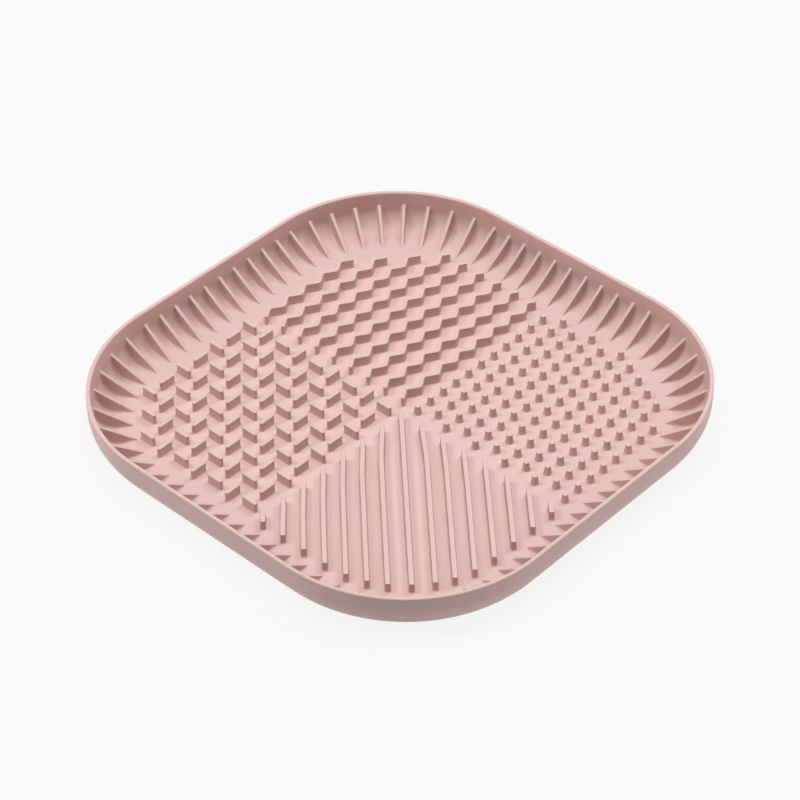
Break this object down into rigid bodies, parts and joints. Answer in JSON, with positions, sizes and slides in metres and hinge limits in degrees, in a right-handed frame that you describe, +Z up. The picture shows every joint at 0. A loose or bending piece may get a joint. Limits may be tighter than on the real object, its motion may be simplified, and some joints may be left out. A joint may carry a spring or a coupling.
{
  "type": "pet lick bowl",
  "caption": "Shallow square lick bowl with round corners, a finned cove inside its lip, and a different lick texture on each quarter of the floor to slow down a pet's eating.",
  "frame": {"origin": "on the flat underside, below the middle of the floor where the four quarters meet", "axes": "+Z up out of the bowl; X and Y along the straight sides, with the waves at -X +Y, the nubs at +X +Y, the bars at -X -Y and the straight ridges at +X -Y"},
  "size_m": [0.254, 0.254, 0.023],
  "materials": {
    "silicone": "matte"
  },
  "bodies": {
    "root": {"rim_wall": "silicone", "rim_lip": "silicone", "wave_panel": "silicone", "nub_panel": "silicone", "weave_panel": "silicone", "ridge_panel": "silicone", "wave_ridge_01": "silicone", "wave_ridge_02": "silicone", "wave_ridge_03": "silicone", "wave_ridge_04": "silicone", "wave_ridge_05": "silicone", "wave_ridge_06": "silicone", "wave_ridge_07": "silicone", "wave_ridge_08": "silicone", "wave_ridge_09": "silicone", "straight_ridge_01": "silicone", "straight_ridge_02": "silicone", "straight_ridge_03": "silicone", "straight_ridge_04": "silicone", "straight_ridge_05": "silicone", "straight_ridge_06": "silicone", "straight_ridge_07": "silicone", "straight_ridge_08": "silicone", "straight_ridge_09": "silicone", "straight_ridge_10": "silicone", "straight_ridge_11": "silicone", "straight_ridge_12": "silicone", "straight_ridge_13": "silicone", "straight_ridge_14": "silicone", "straight_ridge_15": "silicone"}
  },
  "joints": []
}
